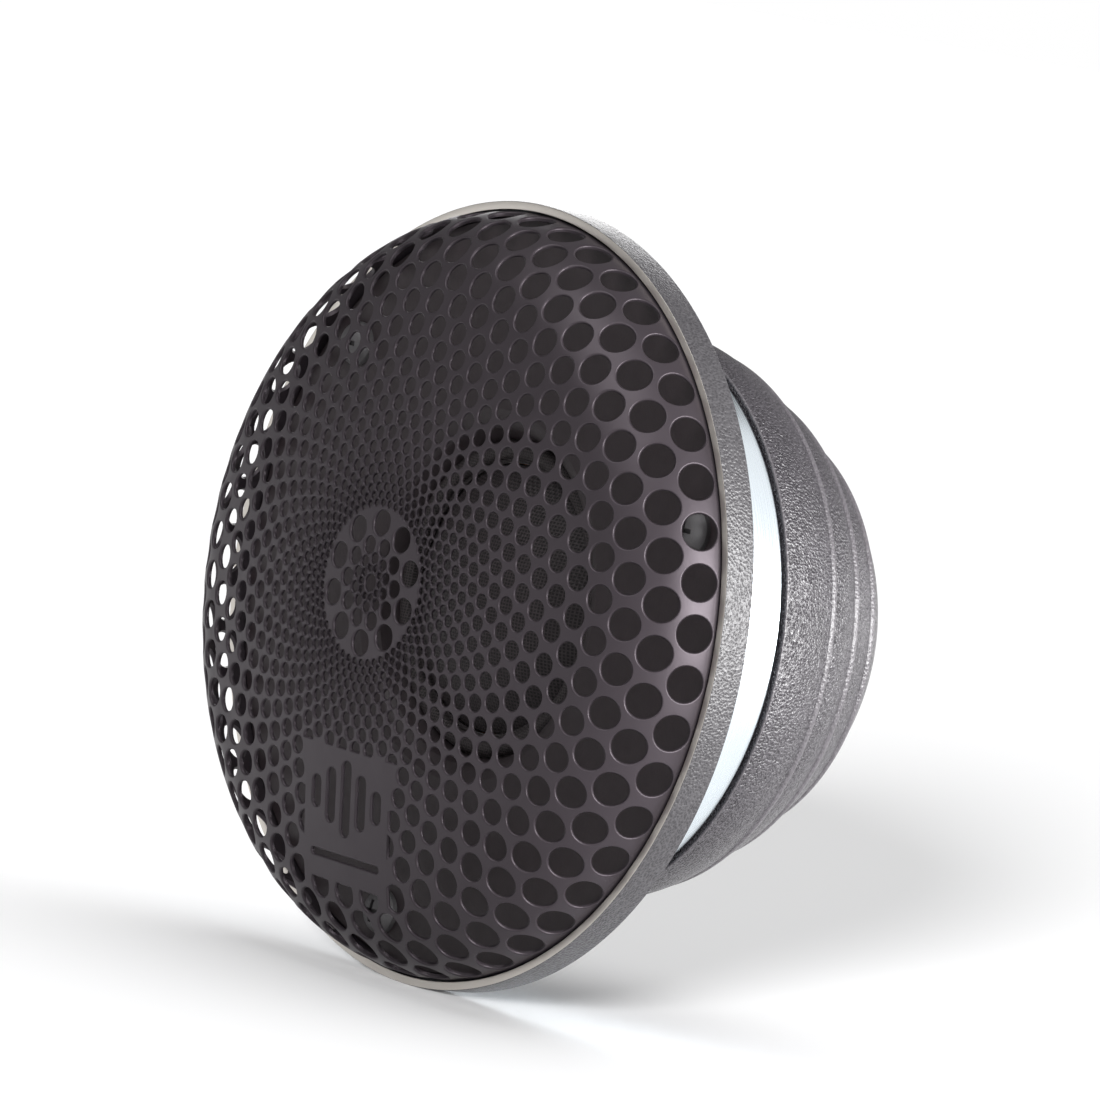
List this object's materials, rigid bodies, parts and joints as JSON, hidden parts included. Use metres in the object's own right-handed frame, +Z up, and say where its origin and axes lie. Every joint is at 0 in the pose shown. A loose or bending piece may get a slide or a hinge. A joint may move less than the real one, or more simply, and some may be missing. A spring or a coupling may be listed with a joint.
{
  "type": "car tweeter",
  "caption": "Flush-mount soft-dome tweeter with a domed perforated grille, textured trim ring, bright spigot and stepped rear cup.",
  "frame": {"origin": "where the acoustic axis meets the rear face of the trim ring's flange, which seats on the panel", "axes": "+Y along the acoustic axis towards the rear cup; the grille faces -Y; +Z up, with the badge at the bottom of the grille"},
  "size_m": [0.056, 0.0429, 0.056],
  "materials": {
    "grille_paint": "satin black paint on pressed steel",
    "trim_coating": "crinkle coating with a bare satin front edge",
    "seal_rubber": "matte",
    "faceplate_plastic": "fine spark texture",
    "plated_screw": "bright nickel plate",
    "bright_band": "polished",
    "dome_silk": "coated silk, square weave",
    "surround_cloth": "coated cloth",
    "former_aluminium": "foil",
    "coil_copper": "copper",
    "lead_braid": "tinsel braid",
    "motor_steel": "black zinc",
    "magnet_nickel": "nickel plate",
    "felt": "felt and open foam",
    "frame_plastic": "moulded",
    "cup_coating": "black crinkle powder coat",
    "board_phenolic": "phenolic board",
    "terminal_brass": "tin-flashed brass",
    "wire_red": "PVC insulation",
    "wire_black": "PVC insulation"
  },
  "bodies": {
    "frame": {"grille": "grille_paint", "trim_ring": "trim_coating", "grille_seal": "seal_rubber", "faceplate": "faceplate_plastic", "faceplate_screws": "plated_screw", "housing": "bright_band", "surround": "surround_cloth", "diaphragm_ring": "faceplate_plastic", "spacer_ring": "frame_plastic", "lead_wires": "lead_braid", "yoke": "motor_steel", "magnet": "magnet_nickel", "pole_plate": "motor_steel", "shorting_cap": "coil_copper", "damping_pad": "felt", "motor_frame": "frame_plastic", "retaining_ring": "motor_steel", "retaining_screws": "plated_screw", "solder_lugs": "terminal_brass", "cup_gasket": "seal_rubber", "rear_cup": "cup_coating", "chamber_foam": "felt", "terminal_board": "board_phenolic", "terminal_positive": "terminal_brass", "terminal_negative": "terminal_brass", "hookup_wire_positive": "wire_red", "hookup_wire_negative": "wire_black"},
    "diaphragm": {"dome": "dome_silk", "coil_former": "former_aluminium", "voice_coil": "coil_copper"}
  },
  "joints": [
    {"name": "diaphragm_travel", "type": "slide", "parent": "frame", "child": "diaphragm", "axis": [0, 1, 0], "range_m": [-0.0003, 0.0003], "stiffness_N_per_m": 1200, "deforming": ["surround", "lead_wires"]}
  ]
}
